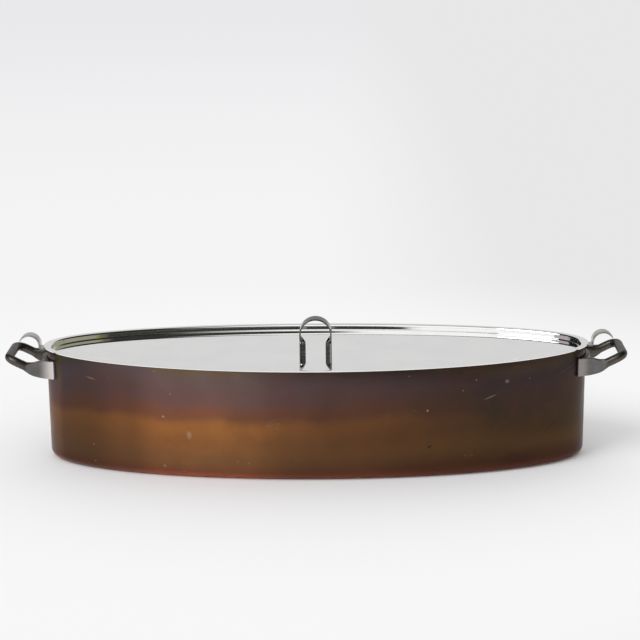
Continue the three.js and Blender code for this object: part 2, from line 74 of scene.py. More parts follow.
def loftMesh(name, rings, capEnds=True, scale=mm):
    # skin through rings that all have the same number of points
    count = len(rings[0])
    points = [p for ring in rings for p in ring]
    faces = []
    for j in range(len(rings) - 1):
        for k in range(count):
            n = (k + 1) % count
            faces.append((j * count + k, j * count + n, (j + 1) * count + n, (j + 1) * count + k))
    if capEnds:
        last = (len(rings) - 1) * count
        faces.append(tuple(range(count - 1, -1, -1)))
        faces.append(tuple(range(last, last + count)))
    mesh = bpy.data.meshes.new(name)
    mesh.from_pydata([tuple(float(v) * scale for v in p) for p in points], [], faces)
    work = bmesh.new()
    work.from_mesh(mesh)
    bmesh.ops.remove_doubles(work, verts=work.verts, dist=1e-4 * scale)
    bmesh.ops.dissolve_degenerate(work, edges=work.edges, dist=1e-5 * scale)
    bmesh.ops.recalc_face_normals(work, faces=work.faces)
    work.to_mesh(mesh)
    work.free()
    return mesh


def loftPiece(name, rings, capEnds=True, scale=1):
    return linkMesh(name, loftMesh(name, rings, capEnds, scale))


def bakeModifiers(piece):
    graph = bpy.context.evaluated_depsgraph_get()
    mesh = bpy.data.meshes.new_from_object(piece.evaluated_get(graph))
    piece.modifiers.clear()
    piece.data = mesh


def combine(piece, other, operation):
    modifier = piece.modifiers.new(operation.lower(), "BOOLEAN")
    modifier.operation = operation
    modifier.solver = "EXACT"
    modifier.object = other
    bakeModifiers(piece)
    bpy.data.objects.remove(other)


def bentLine(corners, steps):
    # [across, height, bend radius] corners, each bend as short straight steps
    line = []
    for i, corner in enumerate(corners):
        here = Vector(corner[:2])
        radius = corner[2] if len(corner) > 2 else 0
        if radius == 0 or i in (0, len(corners) - 1):
            line.append(here)
            continue
        before = (Vector(corners[i - 1][:2]) - here).normalized()
        after = (Vector(corners[i + 1][:2]) - here).normalized()
        opening = acos(max(-1, min(1, before.dot(after))))
        centre = here + (before + after).normalized() * (radius / sin(opening / 2))
        reach = radius / tan(opening / 2)
        start = here + before * reach - centre
        end = here + after * reach - centre
        swing = atan2(start.x * end.y - start.y * end.x, start.dot(end))
        for j in range(steps + 1):
            turn = swing * j / steps
            line.append(centre + Vector((
                start.x * cos(turn) - start.y * sin(turn),
                start.x * sin(turn) + start.y * cos(turn))))
    return line


def lineNormals(line):
    # mitred normals to the left of the line's direction
    normals = []
    for i, here in enumerate(line):
        into = here - line[i - 1] if i else line[1] - here
        out = line[i + 1] - here if i + 1 < len(line) else into
        normalIn = Vector((-into.y, into.x)).normalized()
        normalOut = Vector((-out.y, out.x)).normalized()
        mean = (normalIn + normalOut).normalized()
        normals.append(mean / mean.dot(normalIn))
    return normals


def offsetLine(line, distance):
    return [p + n * distance for p, n in zip(line, lineNormals(line))]


# The oval
strapForm = {
    "width": 13.5, "sheet": 1.2, "sink": 1.5, "footLength": 34, "footBend": 4, "bend": 1.6,
    "wallGap": 1.3, "rimReach": 6.8, "archRadius": 10.6, "archRise": 3.2, "sweep": 151,
    "edgeRound": 0.35, "archSteps": 40, "bendSteps": 8,
}
strapTop = bodyHeight - strapForm["sink"]
notchFloor = strapTop - strapForm["sheet"] - gap
notchHalf = strapForm["width"] / 2 + 2 * gap


def ovalAngles(count, notches=False):
    turns = np.arange(count) * 2 * pi / count
    angles = turns - bodyForm["endCrowding"] / 2 * np.sin(2 * turns)
    if notches:
        edges = []
        for reach in (notchHalf, notchHalf + bodyForm["notchEdge"]):
            lean = asin(reach / halfWidth)
            edges += [lean, pi - lean, pi + lean, 2 * pi - lean]
        angles = np.concatenate([angles, edges])
    return np.sort(angles % (2 * pi))


def ovalRing(angles, inset, height, dipShare=0.0, shrink=1.0, notched=False):
    normalX = halfWidth * np.cos(angles)
    normalY = halfLength * np.sin(angles)
    size = np.hypot(normalX, normalY)
    x = halfLength * np.cos(angles) - inset * normalX / size
    y = halfWidth * np.sin(angles) - inset * normalY / size
    z = height - dipShare * bodyForm["rimDip"] * (1 - (x / halfLength) ** 2)
    if notched:
        inNotch = np.abs(halfWidth * np.sin(angles)) < notchHalf + bodyForm["notchEdge"] / 2
        z = np.where(inNotch, height - (bodyHeight - notchFloor), z)
    return np.stack([x * shrink, y * shrink, z], axis=1)


def wallPoint(y, offset):
    # point and outward direction on the right end at a given y
    sine = y / halfWidth
    cosine = sqrt(1 - sine * sine)
    normal = Vector((halfWidth * cosine, halfLength * sine)).normalized()
    return Vector((halfLength * cosine + offset * normal.x, y + offset * normal.y)), normal


def floorRings(angles, inset, height, shares):
    return [ovalRing(angles, inset, height, shrink=share) for share in shares]


def vesselRings(outer, inner, corner, bottom, floor, rim):
    angles = ovalAngles(bodyForm["around"], notches=True)
    rings = floorRings(angles, outer + corner, bottom, bodyForm["floorRings"])

    def side(inset, radius, low, direction):
        made = []
        for j in range(bodyForm["cornerSteps"] + 1):
            turn = pi / 2 * j / bodyForm["cornerSteps"]
            made.append(ovalRing(angles, inset + radius * (1 - sin(turn)), low + radius * (1 - cos(turn))))
        top = low + radius
        for j in range(1, bodyForm["wallRows"]):
            share = j / bodyForm["wallRows"]
            height = top + (bodyHeight - bodyForm["rimMargin"] - top) * share
            made.append(ovalRing(angles, inset, height, (height - top) / (bodyHeight - top)))
        return made if direction > 0 else made[::-1]

    rings += side(outer, corner, bottom, 1)
    chamfer = 0.3 * rim
    for inset, height in ((outer, -rim), (outer + chamfer, -chamfer), (outer + rim, 0),
                          (inner - rim, 0), (inner - chamfer, -chamfer), (inner, -rim)):
        rings.append(ovalRing(angles, inset, bodyHeight + height, 1, notched=True))
    innerCorner = corner - (inner - outer)
    rings += side(inner, innerCorner, floor, -1)
    return rings + floorRings(angles, inner + innerCorner, floor, bodyForm["floorRings"])[::-1]


copperRings = vesselRings(0, bodyForm["copperSheet"], bodyForm["cornerRadius"], 0, bodyForm["copperSheet"],
                          bodyForm["rimRound"])
copperBody = loftPiece("copperBody", copperRings, False, mm)
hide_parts("copper_shell")
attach(copperBody, "kettle")

liningRings = vesselRings(liningInset, wallInset, bodyForm["cornerRadius"] - liningInset, liningInset, wallInset,
                          bodyForm["liningRimRound"])
liningPiece = loftPiece("steelLining", liningRings, False, mm)
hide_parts("steel_lining")
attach(liningPiece, "kettle")
print("body and lining done")


# Lid
lidForm = {
    "overhang": 2.5, "sheet": 0.8, "flangeWidth": 7.6, "depth": 5.9, "middle": 10.7,
    "coveRadius": 1.6, "bend": 2.0, "wallSlope": 0.05, "curl": 0.15, "curlBend": 1.6,
    "sideShift": 1.5, "endReach": 16, "bendSteps": 10, "edgeSteps": 6, "bowlRings": 50, "around": 320,
}
lidSheet = lidForm["sheet"]
flangeBottom = bodyHeight + gap
lidFloorTop = flangeBottom + lidSheet - lidForm["middle"]


def lidPanMesh():
    form = lidForm
    top = flangeBottom + lidSheet / 2
    floor = top - form["depth"]
    wall = form["flangeWidth"] - form["overhang"]
    line = bentLine([
        (-form["overhang"], top - form["curl"]), (1 - form["overhang"], top, form["curlBend"]),
        (wall, top, form["bend"]), (wall + form["wallSlope"], floor, form["coveRadius"]),
        (wall + 2 * form["coveRadius"], floor)], form["bendSteps"])
    upper = offsetLine(line, lidSheet / 2)
    under = offsetLine(line, -lidSheet / 2)
    edge = []
    for j in range(1, form["edgeSteps"]):
        turn = -pi / 2 - pi * j / form["edgeSteps"]
        edge.append(line[0] + Vector((cos(turn), sin(turn))) * lidSheet / 2)
    edge = [Vector((max(p.x, -form["overhang"]), p.y)) for p in edge]
    angles = ovalAngles(form["around"])
    outline = under[::-1] + edge + upper
    # the wall stands a little further out along the sides than at the ends, where the straps pass
    alongSide = 1 - np.exp(-(halfWidth * np.sin(angles) / form["endReach"]) ** 2)

    def insets(point):
        return point.x - form["sideShift"] * alongSide * max(0.0, min(1.0, point.x / wall))

    def bowl(point, middle):
        # the floor sinks in a shallow bowl from the bowed edge to the middle
        inset = insets(point)
        edgeHeights = ovalRing(angles, inset, point.y, 1)[:, 2]
        made = []
        for k in range(form["bowlRings"]):
            share = k / form["bowlRings"]
            ring = ovalRing(angles, inset, point.y, 1, shrink=share)
            ring[:, 2] = middle + (edgeHeights - middle) * share ** 2
            made.append(ring)
        return made

    rings = bowl(outline[0], lidFloorTop - lidSheet)
    rings += [ovalRing(angles, insets(point), point.y, 1) for point in outline]
    rings += bowl(outline[-1], lidFloorTop)[::-1]
    return loftMesh("lidPan", rings, False)


lidPan = linkMesh("lidPan", lidPanMesh(), 50)
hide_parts("lid_pan")
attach(lidPan, "lid")


# Lid handle: one strip bent into an arch, its legs folded lengthwise into narrow channels
archForm = {
    "width": 33.2, "height": 37.5, "stripWidth": 14.4, "sheet": 1.4, "channelWidth": 3.2,
    "channelHeight": 10.3, "foldHeight": 6.5, "edgeRound": 0.3, "foldRound": 0.9, "foldTuck": 0.8,
    "archSteps": 48, "foldSteps": 14, "legSteps": 3, "flapSteps": 4, "bendSteps": 4,
}
tongueForm = {"width": 3, "sheet": archForm["sheet"], "edgeRound": 0.2, "tab": 6, "bend": 1, "steps": 5, "backing": 1}


def foldedRing(fold):
    # section of the strip as (outward, along y), with both halves folded in by an angle
    form = archForm
    half = form["channelWidth"] / 2
    flap = form["stripWidth"] / 2 - half
    ease = form["foldRound"]
    middle = []
    for j in range(form["flapSteps"]):
        reach = flap * (1 - j / form["flapSteps"])
        middle.append(Vector((-sin(fold) * reach, half + cos(fold) * reach)))
    for j in range(form["bendSteps"] + 1):  # rounded bend between the flap and the face
        share = j / form["bendSteps"]
        turn = fold * (1 - share)
        along = ease * (1 - share)
        tuck = ease * share * form["foldTuck"]
        middle.append(Vector((-sin(turn) * along / 2, half + along * cos(turn) - tuck)))
    middle.append(Vector((0, half / 4)))
    line = middle + [Vector((p.x, -p.y)) for p in middle[::-1]]
    halfSheet = form["sheet"] / 2
    line = [Vector((p.x - halfSheet, p.y)) for p in line]
    inset = form["edgeRound"]
    outer = offsetLine(line, -halfSheet)
    inner = offsetLine(line, halfSheet)
    normals = lineNormals(line)
    first = (line[0] - line[1]).normalized()
    last = (line[-1] - line[-2]).normalized()
    for face in (outer, inner):
        face[0] = face[0] - first * inset
        face[-1] = face[-1] - last * inset
    flat = halfSheet - inset
    edgeStart = [line[0] + normals[0] * flat, line[0] - normals[0] * flat]
    edgeEnd = [line[-1] - normals[-1] * flat, line[-1] + normals[-1] * flat]
    return outer + edgeEnd + inner[::-1] + edgeStart


def lidHandleMesh():
    form = archForm
    radius = form["width"] / 2
    spring = lidFloorTop + form["height"] - radius
    channelTop = lidFloorTop + form["channelHeight"]
    stations = []  # height up the leg and how far the flaps are folded in
    for j in range(form["legSteps"]):
        stations.append((lidFloorTop + gap + (form["channelHeight"] - gap) * j / form["legSteps"], pi / 2))
    for j in range(form["foldSteps"] + 1):
        share = j / form["foldSteps"]
        stations.append((channelTop + form["foldHeight"] * share, asin(1 - share)))
    rings = []
    for height, fold in stations:
        rings.append([(-radius - p.x, p.y, height) for p in foldedRing(fold)])
    for j in range(form["archSteps"] + 1):
        turn = pi * (1 - j / form["archSteps"])
        rings.append([((radius + p.x) * cos(turn), p.y, spring + (radius + p.x) * sin(turn))
                      for p in foldedRing(0)])
    for height, fold in stations[::-1]:
        rings.append([(radius + p.x, p.y, height) for p in foldedRing(fold)])
    return loftMesh("lidHandle", rings)


def stripMesh(name, line, form):
    # strip of sheet metal along a line in the XZ plane, with rounded long edges
    half, thick = form["width"] / 2, form["sheet"] / 2
    edgeRound = form["edgeRound"]
    chamfer = edgeRound * 0.3
    section = []
    for cornerY, cornerN in ((half, thick), (-half, thick), (-half, -thick), (half, -thick)):
        signY, signN = copysign(1, cornerY), copysign(1, cornerN)
        first = (cornerY, cornerN - signN * edgeRound)
        middle = (cornerY - signY * chamfer, cornerN - signN * chamfer)
        last = (cornerY - signY * edgeRound, cornerN)
        section += [first, middle, last] if signY * signN > 0 else [last, middle, first]
    rings = []
    for point, normal in zip(line, lineNormals(line)):
        rings.append([(point.x + normal.x * n, y, point.y + normal.y * n) for y, n in section])
    return loftMesh(name, rings)


def joinMeshes(name, meshes):
    work = bmesh.new()
    for mesh in meshes:
        work.from_mesh(mesh)
    made = bpy.data.meshes.new(name)
    work.to_mesh(made)
    work.free()
    return made


tongues = []
for side in (-1, 1):
    tongueX = side * (archForm["width"] / 2 - tongueForm["sheet"] / 2)
    tabLevel = lidFloorTop - lidSheet - gap - tongueForm["backing"] - tongueForm["sheet"] / 2
    tongueLine = bentLine([
        (tongueX, lidFloorTop + archForm["channelHeight"] / 4), (tongueX, tabLevel, tongueForm["bend"]),
        (tongueX + side * tongueForm["tab"], tabLevel)], tongueForm["steps"])
    tongues.append(stripMesh("tongue", tongueLine, tongueForm))
lidHandle = linkMesh("lidHandle", joinMeshes("lidHandle", [lidHandleMesh()] + tongues), 32)
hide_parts("lid_handle")
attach(lidHandle, "lid")
print("lid done")


# End handles: round bar turning into tall flat palms that hug the wall, and a plate between them
handleForm = {
    "reach": 40.4, "halfWidth": 26, "barRadius": 4.45, "corner": 9.5, "rise": 11.3, "riseStart": 6.5,
    "palmHeight": 18.7, "palmTop": 10, "palmLift": 1.7, "palmHalfSpan": 25,
    "leafTip": 18.5, "leafGrowth": 20.5, "leafShoulder": 5.5, "leafDepth": 2.7,
    "plate": 4.2, "plateEnd": 2.4, "gripSquareness": 0.95, "palmSquareness": 0.4,
    "sides": 40, "cornerSteps": 12, "legSteps": 26, "plateSteps": 48, "coreSides": 512,
    "endBlock": (80, 40, 80), "voxel": 0.42, "easeShare": 0.5, "easeRounds": 1,
}
wallMiddle = bodyHeight - handleForm["palmTop"] - handleForm["palmHeight"] / 2
barX = halfLength + handleForm["reach"] - handleForm["barRadius"]
leafTipX = halfLength + handleForm["leafTip"]
palmEndX = wallPoint(handleForm["palmHalfSpan"], 0)[0].x


def eased(low, high, value):
    t = max(0.0, min(1.0, (value - low) / (high - low)))
    return t * t * (3 - 2 * t)


def plateFace(y):
    share = (y / handleForm["palmHalfSpan"]) ** 2
    return gap + handleForm["plate"] + (handleForm["plateEnd"] - handleForm["plate"]) * share


def legHeight(x):
    riseX = halfLength + handleForm["riseStart"]
    palmPart = handleForm["palmLift"] * eased(palmEndX, riseX, x)
    barPart = handleForm["rise"] * eased(riseX, barX + handleForm["barRadius"], x)
    return wallMiddle + palmPart + barPart


def barLine():
    form = handleForm
    straight = form["halfWidth"] - form["corner"]
    legStart = barX - form["corner"]
    plan = [(barX, straight * share) for share in (0, 0.25, 0.5, 0.75)]
    for j in range(form["cornerSteps"] + 1):
        turn = pi / 2 * j / form["cornerSteps"]
        plan.append((legStart + form["corner"] * cos(turn), straight + form["corner"] * sin(turn)))
    for j in range(1, form["legSteps"] + 1):
        plan.append((legStart + (palmEndX - legStart) * j / form["legSteps"], form["halfWidth"]))
    half = [Vector((x, y, legHeight(x))) for x, y in plan]
    return [Vector((p.x, -p.y, p.z)) for p in half[:0:-1]] + half


def barRing(centre, tangent):
    form = handleForm
    across = Vector((tangent.y, -tangent.x, 0)).normalized()
    up = across.cross(tangent)
    leaf = max(0.0, min(1.0, (leafTipX - centre.x) / form["leafGrowth"]))
    tall = form["barRadius"] + (form["palmHeight"] / 2 - form["barRadius"]) * sin(pi / 2 * leaf)
    power = form["gripSquareness"] + (form["palmSquareness"] - form["gripSquareness"]) * leaf
    ring = []
    for k in range(form["sides"]):
        turn = 2 * pi * (k + 0.5) / form["sides"]
        c, s = cos(turn), sin(turn)
        ring.append(centre + across * form["barRadius"] * copysign(abs(c) ** power, c)
                    + up * tall * copysign(abs(s) ** power, s))
    return ring


def castHandle():
    form = handleForm
    line = barLine()
    rings = []
    for i, centre in enumerate(line):
        tangent = (line[min(i + 1, len(line) - 1)] - line[max(i - 1, 0)]).normalized()
        rings.append(barRing(centre, tangent))
    casting = loftPiece("casting", rings)
    outside = form["halfWidth"] + form["barRadius"]
    wall = wallPoint(form["palmHalfSpan"], form["plateEnd"] + gap)[0]
    shoulder = Vector((leafTipX - form["leafShoulder"], outside - form["leafDepth"]))
    beyond = shoulder.lerp(wall, 2)
    for side in (-1, 1):
        outline = [(leafTipX, outside), tuple(shoulder), tuple(beyond),
                   (beyond.x, outside + form["palmHeight"]), (leafTipX, outside + form["palmHeight"])]
        facet = [[(x, side * y, z) for x, y in outline] for z in (0, 2 * bodyHeight)]
        combine(casting, loftPiece("facet", facet), "DIFFERENCE")
    rings = []
    low, high = wallMiddle - form["palmHeight"] / 2, wallMiddle + form["palmHeight"] / 2
    for j in range(form["plateSteps"] + 1):
        y = form["palmHalfSpan"] * (-1 + 2 * j / form["plateSteps"])
        inner = wallPoint(y, -wallInset)[0]
        outer = wallPoint(y, plateFace(y))[0]
        rings.append([(inner.x, inner.y, low), (outer.x, outer.y, low),
                      (outer.x, outer.y, high), (inner.x, inner.y, high)])
    combine(casting, loftPiece("plate", rings), "UNION")
    for side in (-1, 1):
        point, normal = wallPoint(side * form["palmHalfSpan"], 0)
        block = bpy.data.meshes.new("end")
        work = bmesh.new()
        bmesh.ops.create_cube(work, size=1)
        bmesh.ops.transform(work, matrix=Matrix.Diagonal((*form["endBlock"], 1)), verts=work.verts)
        bmesh.ops.translate(work, vec=(0, side * form["endBlock"][1] / 2, 0), verts=work.verts)
        turn = Matrix.Rotation(atan2(normal.y, normal.x), 4, "Z")
        bmesh.ops.transform(work, matrix=Matrix.Translation((point.x, point.y, wallMiddle)) @ turn, verts=work.verts)
        work.to_mesh(block)
        work.free()
        combine(casting, linkMesh("end", block), "DIFFERENCE")
    angles = ovalAngles(form["coreSides"])
    core = [ovalRing(angles, -gap, z) for z in (0, 2 * bodyHeight)]
    combine(casting, loftPiece("core", core), "DIFFERENCE")
    remesh = casting.modifiers.new("skin", "REMESH")
    remesh.mode = "VOXEL"
    remesh.voxel_size = form["voxel"]
    ease = casting.modifiers.new("ease", "SMOOTH")
    ease.factor = form["easeShare"]
    ease.iterations = form["easeRounds"]
    bakeModifiers(casting)
    mesh = casting.data
    mesh.transform(Matrix.Scale(mm, 4))
    bpy.data.objects.remove(casting)
    return mesh


# pieces are made at the right end and turned about the middle for the left end
ends = (("right", Matrix.Identity(4)), ("left", Matrix.Rotation(pi, 4, "Z")))
handleMesh = castHandle()
handlePieces = []
for side, toEnd in ends:
    mesh = handleMesh.copy()
    mesh.transform(toEnd)
    piece = linkMesh(side + "CastHandle", mesh, 180)
    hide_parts(side + "_handle")
    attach(piece, "kettle")
    handlePieces.append(piece)
print("handles done:", len(handleMesh.vertices), "points each")


# Rivets of the handles
rivetForm = {"spread": 12.5, "rise": 4.3, "shank": 2, "head": 3.4, "headHeight": 1.5, "sides": 28, "domeRows": 7}


def rivetMesh(name, form, grip):
    shank = form["shank"]
    outline = []
    for base, way in ((0, -1), (grip, 1)):
        dome = []
        for j in range(rivetForm["domeRows"] + 1):
            turn = pi / 2 * j / rivetForm["domeRows"]
            dome.append((form["head"] * cos(turn), base + way * form["headHeight"] * sin(turn)))
        outline += dome[::-1] + [(shank, base)] if way < 0 else [(shank, base)] + dome
    turns = [2 * pi * k / rivetForm["sides"] for k in range(rivetForm["sides"])]
    rings = [[(r * cos(turn), r * sin(turn), z) for turn in turns] for r, z in outline]
    return loftMesh(name, rings, False)


rivetPieces = []
seats = [(y, wallMiddle + rise) for y in (-rivetForm["spread"], rivetForm["spread"])
         for rise in (-rivetForm["rise"], rivetForm["rise"])]
for side, toEnd in ends:
    for i, (y, z) in enumerate(seats):
        inner = wallInset + 2 * gap
        point, normal = wallPoint(y, -inner)
        name = f"{side}HandleRivet{i + 1}"
        mesh = rivetMesh(name, rivetForm, inner + plateFace(y) + gap)
        aim = Vector((0, 0, 1)).rotation_difference(Vector((normal.x, normal.y, 0))).to_matrix().to_4x4()
        mesh.transform(Matrix.Translation((point.x * mm, point.y * mm, z * mm)) @ aim)
        mesh.transform(toEnd)
        piece = linkMesh(name, mesh)
        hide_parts(f"{side}_handle_rivet_{i + 1}")
        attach(piece, "kettle")
        rivetPieces.append(piece)


# Rack and its straps
rackForm = {
    "height": 16, "sheet": 1.2, "edgeHeight": 5, "bend": 3, "wallGap": 5,
    "hole": 6, "holePitch": 34, "rowPitch": 27, "holeMargin": 5, "holeDepth": 6,
    "around": 192, "holeSides": 32, "bendSteps": 8, "floorRings": (0, 0.5, 0.9),
}
strapRivetForm = {"shank": 1.9, "head": 3.4, "headHeight": 1.1, "pitch": 13, "margin": 7}
rackInset = wallInset + rackForm["wallGap"]
strapLegX = halfLength - wallInset - strapForm["wallGap"] - strapForm["sheet"] / 2
strapEndX = strapLegX - strapForm["footLength"]
rivetPlaces = [strapEndX + strapRivetForm["margin"] + along for along in (0, strapRivetForm["pitch"])]


def rackTray():
    form = rackForm
    middle = rackInset + form["sheet"] / 2
    level = form["height"] + form["sheet"] / 2
    line = bentLine([(middle, form["height"] + form["edgeHeight"]), (middle, level, form["bend"]),
                     (middle + 2 * form["bend"], level)], form["bendSteps"])
    outer = offsetLine(line, -form["sheet"] / 2)
    inner = offsetLine(line, form["sheet"] / 2)
    angles = ovalAngles(form["around"])
    outline = outer[::-1] + inner
    rings = floorRings(angles, *outline[0], form["floorRings"])
    rings += [ovalRing(angles, p.x, p.y) for p in outline]
    rings += floorRings(angles, *outline[-1], form["floorRings"])[::-1]
    tray = loftPiece("tray", rings, False)
    reachX = halfLength - rackInset - form["bend"] - form["hole"] - form["holeMargin"]
    reachY = halfWidth - rackInset - form["bend"] - form["hole"] - form["holeMargin"]
    footStart = strapEndX - form["hole"] - form["holeMargin"]
    work = bmesh.new()
    rows = int(reachY // form["rowPitch"])
    for row in range(-rows, rows + 1):
        y = row * form["rowPitch"]
        shift = 0 if row % 2 == 0 else form["holePitch"] / 2
        columns = ceil(reachX / form["holePitch"])
        for column in range(-columns, columns + 1):
            x = column * form["holePitch"] + shift
            inside = (x / reachX) ** 2 + (y / reachY) ** 2 <= 1
            underStrap = abs(x) > footStart and abs(y) < strapForm["width"] / 2 + form["hole"] + form["holeMargin"]
            if inside and not underStrap:
                bmesh.ops.create_cone(work, cap_ends=True, segments=form["holeSides"], radius1=form["hole"],
                                      radius2=form["hole"], depth=form["holeDepth"],
                                      matrix=Matrix.Translation((x, y, level)))
    holes = bpy.data.meshes.new("holes")
    work.to_mesh(holes)
    work.free()
    combine(tray, linkMesh("holes", holes), "DIFFERENCE")
    mesh = tray.data
    mesh.transform(Matrix.Scale(mm, 4))
    bpy.data.objects.remove(tray)
    return mesh


rackPlate = linkMesh("rackPlate", rackTray(), 30)
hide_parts("rack_plate")
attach(rackPlate, "rack")


def strapLine():
    form = strapForm
    low = rackForm["height"] - form["sheet"] / 2
    high = strapTop - form["sheet"] / 2
    hookX = halfLength + form["rimReach"]
    line = bentLine([
        (strapEndX, low), (strapLegX, low, form["footBend"]), (strapLegX, high, form["bend"]),
        (hookX, high, form["bend"]), (hookX, high + form["archRise"])], form["bendSteps"])
    centre = Vector((hookX + form["archRadius"], high + form["archRise"]))
    for j in range(1, form["archSteps"] + 1):
        turn = pi - radians(form["sweep"]) * j / form["archSteps"]
        line.append(centre + Vector((cos(turn), sin(turn))) * form["archRadius"])
    return line


strapPieces = []
for side, toEnd in ends:
    mesh = stripMesh(side + "RackStrap", strapLine(), strapForm)
    mesh.transform(toEnd)
    piece = linkMesh(side + "RackStrap", mesh)
    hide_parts(side + "_rack_strap")
    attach(piece, "rack")
    strapPieces.append(piece)
    for i, x in enumerate(rivetPlaces):
        name = f"{side}StrapRivet{i + 1}"
        mesh = rivetMesh(name, strapRivetForm, strapForm["sheet"] + rackForm["sheet"])
        mesh.transform(Matrix.Translation((x * mm, 0, (rackForm["height"] - strapForm["sheet"]) * mm)))
        mesh.transform(toEnd)
        piece = linkMesh(name, mesh)
        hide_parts(f"{side}_strap_rivet_{i + 1}")
        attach(piece, "rack")
        strapPieces.append(piece)
print("rack and straps done")


# Node tools; those without a tree of their own work in the tree of the socket that they are given
def tone(r, g, b):
    # screen colour from 0 to 255 as the linear colour that a shader takes
    line = []
    for value in (r, g, b):
        v = value / 255
        line.append(v / 12.92 if v <= 0.04045 else ((v + 0.055) / 1.055) ** 2.4)
    return (*line, 1.0)


def plug(value, socket):
    if isinstance(value, bpy.types.NodeSocket):
        socket.id_data.links.new(value, socket)
    else:
        socket.default_value = value


def put(tree, kind, inputs=None, **fields):
    made = tree.nodes.new(kind)
    for key, value in fields.items():
        setattr(made, key, value)
    for key, value in (inputs or {}).items():
        plug(value, made.inputs[key])
    return made


def calc(operation, a, b=0.0, clamp=False):
    tree = (a if isinstance(a, bpy.types.NodeSocket) else b).id_data
    return put(tree, "ShaderNodeMath", {0: a, 1: b}, operation=operation, use_clamp=clamp).outputs[0]


def times(a, b):
    return calc("MULTIPLY", a, b)


def minus(a, b):
    return calc("SUBTRACT", a, b)


def combined(operation, vector, inputs):
    return put(vector.id_data, "ShaderNodeVectorMath", {0: vector, **inputs}, operation=operation).outputs


def remap(value, low, high, toLow=0.0, toHigh=1.0):
    return put(value.id_data, "ShaderNodeMapRange", {
        "Value": value, "From Min": low, "From Max": high, "To Min": toLow, "To Max": toHigh},
        interpolation_type="SMOOTHSTEP").outputs["Result"]


def ramp(value, stops, interpolation="EASE"):
    made = put(value.id_data, "ShaderNodeValToRGB", {"Fac": value})
    band = made.color_ramp
    band.interpolation = interpolation
    while len(band.elements) < len(stops):
        band.elements.new(0.5)
    for element, (place, colour) in zip(band.elements, stops):
        element.position = place
        element.color = colour
    return made.outputs["Color"]


def blendColour(share, a, b):
    # 0, 6 and 7 are the factor and the two colours of the Mix node, and output 2 is its colour
    return put(share.id_data, "ShaderNodeMix", {0: share, 6: a, 7: b}, data_type="RGBA").outputs[2]


def splitAxes(vector):
    return put(vector.id_data, "ShaderNodeSeparateXYZ", {0: vector}).outputs


def newGroup(name, inputs, output):
    # shared effect with a vector input, the given inputs at their usual values and one number as the output
    tree = bpy.data.node_groups.new(name, "ShaderNodeTree")
    tree.interface.new_socket(name="Vector", in_out="INPUT", socket_type="NodeSocketVector")
    for label, value in inputs.items():
        kind = "NodeSocketVector" if isinstance(value, tuple) else "NodeSocketFloat"
        tree.interface.new_socket(name=label, in_out="INPUT", socket_type=kind).default_value = value
    tree.interface.new_socket(name=output, in_out="OUTPUT", socket_type="NodeSocketFloat")
    return tree, tree.nodes.new("NodeGroupInput").outputs, tree.nodes.new("NodeGroupOutput").inputs[0]


def useGroup(group, place, form):
    return put(place.id_data, "ShaderNodeGroup", {"Vector": place, **form}, node_tree=group).outputs[0]


# soft cloudy patches, from 0 to 1
cloudGroup, given, made = newGroup("cloudyPatches", {"Scale": 20.0, "Seed": 0.0, "Low": 0.3, "High": 0.75}, "Mask")
noise = put(cloudGroup, "ShaderNodeTexNoise", {
    "Vector": given["Vector"], "W": given["Seed"], "Scale": given["Scale"], "Detail": 4.0, "Roughness": 0.55},
    noise_dimensions="4D")
plug(remap(noise.outputs[0], given["Low"], given["High"]), made)

# thin scratches that run in one direction, each a narrow line of a stretched noise, broken up by a second one
scratchGroup, given, made = newGroup("hairScratches", {
    "Scale": 60.0, "Lean": 0.3, "Seed": 0.0, "Width": 0.02, "Amount": 0.5}, "Mask")
turned = put(scratchGroup, "ShaderNodeVectorRotate", {"Vector": given["Vector"], "Angle": given["Lean"]},
             rotation_type="Y_AXIS").outputs[0]
drawnOut = put(scratchGroup, "ShaderNodeMapping", {"Vector": turned, "Scale": (0.12, 0.12, 1.0)}).outputs[0]
fine = put(scratchGroup, "ShaderNodeTexNoise", {
    "Vector": drawnOut, "W": given["Seed"], "Scale": given["Scale"], "Detail": 1.0, "Distortion": 0.6},
    noise_dimensions="4D").outputs[0]
away = calc("ABSOLUTE", minus(fine, 0.5))
hair = calc("SUBTRACT", 1.0, calc("DIVIDE", away, given["Width"]), clamp=True)
broken = put(scratchGroup, "ShaderNodeTexNoise", {
    "Vector": turned, "W": given["Seed"], "Scale": 38.0, "Detail": 2.0}, noise_dimensions="4D").outputs[0]
plug(times(times(hair, remap(broken, 0.62, 0.72)), given["Amount"]), made)

# small specks and pin marks
speckGroup, given, made = newGroup("brightSpecks", {"Scale": 60.0, "Size": 0.12, "Share": 0.2}, "Mask")
cells = put(speckGroup, "ShaderNodeTexVoronoi", {"Vector": given["Vector"], "Scale": given["Scale"]}).outputs
drawn = put(speckGroup, "ShaderNodeSeparateColor", {0: cells["Color"]}).outputs[0]
plug(times(calc("LESS_THAN", cells["Distance"], given["Size"]), calc("LESS_THAN", drawn, given["Share"])), made)

# fine drawn grain of rolled or brushed sheet
grainGroup, given, made = newGroup("drawnGrain", {"Scale": 300.0, "Stretch": (0.05, 0.05, 1.0)}, "Height")
scaled = combined("MULTIPLY", given["Vector"], {1: given["Stretch"]})[0]
plug(put(grainGroup, "ShaderNodeTexNoise", {
    "Vector": scaled, "Scale": given["Scale"], "Detail": 3.0, "Roughness": 0.6}).outputs[0], made)


def newMaterial(name):
    material = bpy.data.materials.new(name)
    material.use_nodes = True
    tree = material.node_tree
    tree.nodes.clear()
    shader = tree.nodes.new("ShaderNodeBsdfPrincipled")
    tree.links.new(shader.outputs[0], tree.nodes.new("ShaderNodeOutputMaterial").inputs["Surface"])
    return material, shader, tree.nodes.new("ShaderNodeTexCoord").outputs["Object"]


